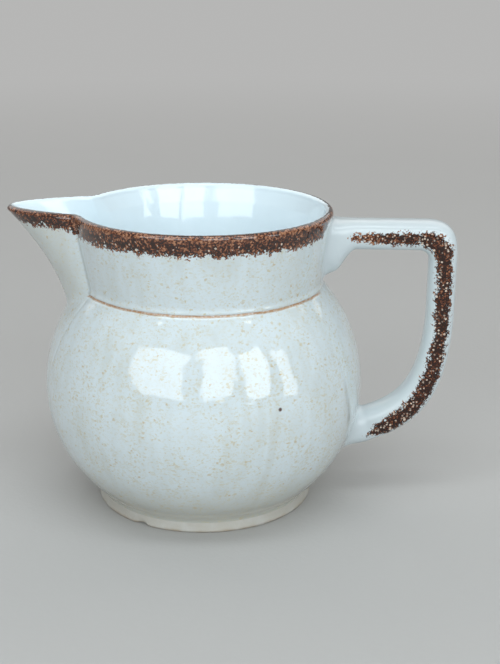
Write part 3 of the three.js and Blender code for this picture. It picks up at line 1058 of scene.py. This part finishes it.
def handle_line():
    """The chain of vertices along the arm, corner, grip and tail, with the section's sizes."""
    body, handle = settings().body, settings().handle
    arm_z, reach, bend = handle.arm_height, handle.grip_reach, handle.corner_radius
    arm, grip, end = handle.arm_thickness, handle.grip_thickness, handle.tail_thickness
    collar = float(outside_radius_at(body, arm_z))
    start = collar + handle.upper_seat
    bend_end = arm_z - bend
    grip_end = bend_end - handle.grip_length
    tail = np.array([float(outside_radius_at(body, handle.tail_height)), handle.tail_height])
    fall = -np.array([math.cos(handle.tail_slope), math.sin(handle.tail_slope)])
    drop = handle.tail_drop * (grip_end - tail[1])
    run = handle.tail_run * (reach - tail[0])
    seat = handle.seat_steps + 1
    pull = ROUND_CORNER * bend
    corner = bezier(
        40, (reach - bend, arm_z), (reach - bend + pull, arm_z),
        (reach, bend_end + pull), (reach, bend_end),
    )
    whole = bezier(400, (reach, grip_end), (reach, grip_end - drop), tail - fall * run, tail)
    left = np.linalg.norm(np.diff(whole, axis=0), axis=1)[::-1].cumsum()[::-1]
    curved = whole[:-1][left > handle.lower_seat][::4]

    # Points of each stretch, its first and last thickness, its swell, and 1 for the tail
    stretches = (
        (straight((collar - handle.sunk, arm_z), (start, arm_z), seat)[:-1], arm, arm, 0, 0),
        (straight((start, arm_z), (reach - bend, arm_z), 44)[:-1], arm, arm, 0, 0),
        (corner[:-1], arm, grip, handle.corner_swell, 0),
        (straight((reach, bend_end), (reach, grip_end), 18)[:-1], grip, grip, 0, 0),
        (curved, grip, end, 0, 1),
        (straight(curved[-1], tail + fall * handle.sunk, seat)[1:], end, end, 0, 1),
    )
    half, swell, tails = [], [], []
    for line, first, last, extra, is_tail in stretches:
        part = np.linspace(0, 1, len(line))
        half.extend(lerp(first, last, smoothstep(part, 0, 1)) / 2)
        swell.extend(extra * np.sin(np.pi * part) ** 2)
        tails.extend([is_tail] * len(line))
    points = np.concatenate([stretch[0] for stretch in stretches])
    half, swell, tails = np.array(half), np.array(swell), np.array(tails)

    tangent = unit(np.gradient(points, axis=0))
    flare_end = handle.upper_flare_start + handle.upper_flare_length
    upper = smoothstep(points[:, 0] - body.neck_radius, handle.upper_flare_start, flare_end)
    upper = (1 - upper) * (1 - tails)
    lower = (1 - smoothstep(points[:, 0] - tail[0], 0, handle.lower_flare_length)) * tails
    steps = np.linalg.norm(np.diff(points, axis=0), axis=1)
    path = np.concatenate([[0], np.cumsum(steps)]) / steps.sum()
    level = np.zeros(len(points))
    return carrier(
        "handle_path",
        capped(np.stack([AXIS_X + points[:, 0], level, points[:, 1]], -1), 1.0),
        inward=capped(np.stack([tangent[:, 1], level, -tangent[:, 0]], -1), 1.0),
        inner=capped(half + handle.upper_flare * upper + handle.lower_flare * lower),
        outer=capped(half + swell),
        half_width=capped(handle.width / 2 + handle.spread * np.maximum(upper, lower)),
        path=capped(path, 1.0),
    )


def seat_ends(mesh):
    """Spreads the handle's ends smoothly onto the body and closes them inside the wall."""
    body, handle = settings().body, settings().handle
    steps, sides = handle.seat_steps, handle.sides
    points = read_points(mesh)
    row = np.rint(read_values(mesh, "row")).astype(int)
    turn = np.arctan2(read_values(mesh, "turn_sin"), read_values(mesh, "turn_cos"))
    side = np.rint(turn / (2 * math.pi) * sides).astype(int) % sides
    grid = np.zeros((row.max() + 1, sides), int)
    grid[row, side] = np.arange(len(points))
    for pole in (0, row.max()):
        grid[pole] = np.flatnonzero(row == pole)[0]
    turns = np.arange(sides) * 2 * math.pi / sides
    depth, breadth = (
        np.sign(wave) * np.abs(wave) ** (2 / handle.squareness)
        for wave in (np.cos(turns), np.sin(turns))
    )

    def on_body(seat, scale, sink):
        middle, rise, drop, half, flip = seat
        level = depth * flip * scale
        z = middle + np.where(level > 0, rise, drop) * level
        radius = outside_radius_at(body, z) - sink
        swing = breadth * scale * half / radius
        return np.stack([AXIS_X + radius * np.cos(swing), radius * np.sin(swing), z], -1)

    upper = (
        handle.arm_height, handle.upper_seat_rise, handle.upper_seat_drop,
        handle.upper_seat_half, -1,
    )
    lower = (
        handle.tail_height, handle.lower_seat_rise, handle.lower_seat_drop,
        handle.lower_seat_half, 1,
    )
    # Scale about a seat's middle, and depth in the wall
    inner_ring, hidden_ring, hidden_middle = (0.93, 0.0), (1.03, 0.0009), (0.0, 0.0022)
    leave, arrive = 0.42, 0.5
    first = steps + 2
    for rows, seat in ((grid, upper), (grid[::-1], lower)):
        begin, edge = points[rows[first]], on_body(seat, 1.0, 0.0)
        along = unit(begin - points[rows[first + 1]])
        spread = unit(edge - on_body(seat, *inner_ring))
        span = np.linalg.norm(edge - begin, axis=1, keepdims=True)
        knots = (begin, begin + along * span * leave, edge - spread * span * arrive, edge)
        for step in range(1, steps + 1):
            points[rows[first - step]] = cubic(step / steps, *knots)
        points[rows[1]] = on_body(seat, *hidden_ring)
        points[rows[0][0]] = on_body(seat, *hidden_middle)[0]
    write_points(mesh, points)
    for name in ("row", "turn_cos", "turn_sin"):
        mesh.attributes.remove(mesh.attributes[name])


# Stage


def lay_floor():
    """Lays a large plain floor."""
    mesh = bpy.data.meshes.new("floor")
    corners = ((-1, -1), (1, -1), (1, 1), (-1, 1))
    places = [(x * FLOOR_REACH, y * FLOOR_REACH, 0) for x, y in corners]
    mesh.from_pydata(places, [], [(0, 1, 2, 3)])
    mesh.materials.append(floor_finish())
    floor = linked("floor", mesh)


def pale_world():
    """A pale surround that sheds less light than it shows."""
    world = bpy.data.worlds.new("Studio")
    world.use_nodes = True
    board = Board(world.node_tree)
    shade = world.node_tree.nodes["Background"]
    shade.inputs["Color"].default_value = ink(settings().finishes.surround)
    strength = seen_rays(board) * (1 - SURROUND_LIGHT) + SURROUND_LIGHT
    world.node_tree.links.new(strength.socket, shade.inputs["Strength"])
    return world


def aimed(place, away, around, up, roll=0.0):
    """Matrix of what stands away from a place, at degrees round and up from it, and faces it."""
    around, up, roll = (math.radians(degrees) for degrees in (around, up, roll))
    level = math.cos(up)
    back = Vector((math.sin(around) * level, -math.cos(around) * level, math.sin(up)))
    side = Vector((math.cos(around), math.sin(around), 0))
    over = back.cross(side)
    right = side * math.cos(roll) + over * math.sin(roll)
    upward = over * math.cos(roll) - side * math.sin(roll)
    turn = Matrix((right, upward, back)).transposed().to_4x4()
    return Matrix.Translation(Vector(place) + back * away) @ turn


def pane(name, around, up, away, width, height, glow, colour):
    """A rectangular softbox that spans a width and a height in degrees from the jug."""
    light = bpy.data.lights.new(name, "AREA")
    light.shape = "RECTANGLE"
    light.size = 2 * away * math.tan(math.radians(width / 2))
    light.size_y = 2 * away * math.tan(math.radians(height / 2))
    light.energy = glow * math.pi * light.size * light.size_y
    light.color = colour
    obj = linked(name, light)
    obj.visible_camera = False
    obj.matrix_world = aimed(LIGHT_TARGET, away, around, up)


def photo_camera():
    """The photograph's viewpoint: a long lens, a little above the rim."""
    data = bpy.data.cameras.new("camera")
    data.sensor_fit = "AUTO"
    data.sensor_width = SENSOR
    data.lens = LENS_PIXELS / PHOTO_HEIGHT * SENSOR
    data.clip_start = 0.01
    camera = linked("camera", data)
    camera.matrix_world = aimed(CAMERA_PLACE, 0, *CAMERA_TURN)
    return camera


# Operators


class JUG_OT_body(bpy.types.Operator):
    """Turns the body from its profile and pulls the beak out of the collar"""

    bl_idname = "jug.body"
    bl_label = "Body and beak"

    def execute(self, context):
        """Makes the piece jug_body."""
        body = settings().body
        rows = body_profile(body)
        mesh = turned_mesh("jug_body", rows, body.facets, body.crowding, speckled_glaze())
        pull_beak(mesh)
        place_piece(mesh, "jug_body", "speckled_glaze", "body", "spout", "spout_lute")
        return {"FINISHED"}


class JUG_OT_foot(bpy.types.Operator):
    """Turns the foot ring and takes the small chip out of its edge"""

    bl_idname = "jug.foot"
    bl_label = "Foot ring"

    def execute(self, context):
        """Makes the piece jug_foot."""
        body = settings().body
        mesh = turned_mesh("jug_foot", foot_profile(body), body.foot_facets, 0.0, foot_glaze())
        take_chip(mesh)
        place_piece(mesh, "jug_foot", "foot_glaze", "foot_ring", "foot_lute")
        return {"FINISHED"}


class JUG_OT_handle(bpy.types.Operator):
    """Draws the strap handle along its path and seats its ends on the body"""

    bl_idname = "jug.handle"
    bl_label = "Handle"

    def execute(self, context):
        """Makes the piece jug_handle."""
        handle = settings().handle
        mesh = grown_mesh(
            handle_line(), strap_tree(), "jug_handle",
            Sides=handle.sides, Squareness=handle.squareness, Material=striped_glaze(),
        )
        seat_ends(mesh)
        place_piece(
            mesh, "jug_handle", "white_glaze", "handle", "upper_handle_lute", "lower_handle_lute"
        )
        return {"FINISHED"}


class JUG_OT_stage(bpy.types.Operator):
    """Lays the floor and sets the studio lights and the camera"""

    bl_idname = "jug.stage"
    bl_label = "Stage"

    def execute(self, context):
        """Makes the floor, surround, lights and camera."""
        scene = context.scene
        scene.view_settings.view_transform = "Standard"
        lay_floor()
        scene.world = pale_world()
        for name, numbers in LIGHTS.items():
            pane(name, *numbers)
        scene.camera = photo_camera()
        return {"FINISHED"}


class JUG_PT_sidebar(bpy.types.Panel):
    """Lists the jug's pieces and settings"""

    bl_idname = "JUG_PT_sidebar"
    bl_label = "Ceramic jug"
    bl_space_type = "VIEW_3D"
    bl_region_type = "UI"
    bl_category = "Jug"

    def draw(self, context):
        """A button for each operator, then the settings."""
        for operator in OPERATORS:
            self.layout.operator(operator.bl_idname, text=operator.bl_label)
        for heading in JugSettings.__annotations__:
            sizes = getattr(context.scene.jug, heading)
            box = self.layout.box()
            box.label(text=heading.capitalize())
            for key in sizes.__annotations__:
                box.prop(sizes, key)


OPERATORS = (JUG_OT_body, JUG_OT_foot, JUG_OT_handle, JUG_OT_stage)
GROUPS = (JugBodySizes, JugBeakSizes, JugHandleSizes, JugFinishes, JugSettings)
CLASSES = (*GROUPS, *OPERATORS, JUG_PT_sidebar)


def register():
    """Registers the classes and the scene's settings."""
    for cls in CLASSES:
        bpy.utils.register_class(cls)
    bpy.types.Scene.jug = group("Jug", "Sizes and colours of the ceramic jug", JugSettings)


def unregister():
    """Removes the settings and the classes."""
    del bpy.types.Scene.jug
    for cls in reversed(CLASSES):
        bpy.utils.unregister_class(cls)


def main():
    """Builds the jug and its stage."""
    register()
    bpy.ops.jug.body()
    bpy.ops.jug.foot()
    bpy.ops.jug.handle()
    bpy.ops.jug.stage()


if __name__ == "__main__":
    main()
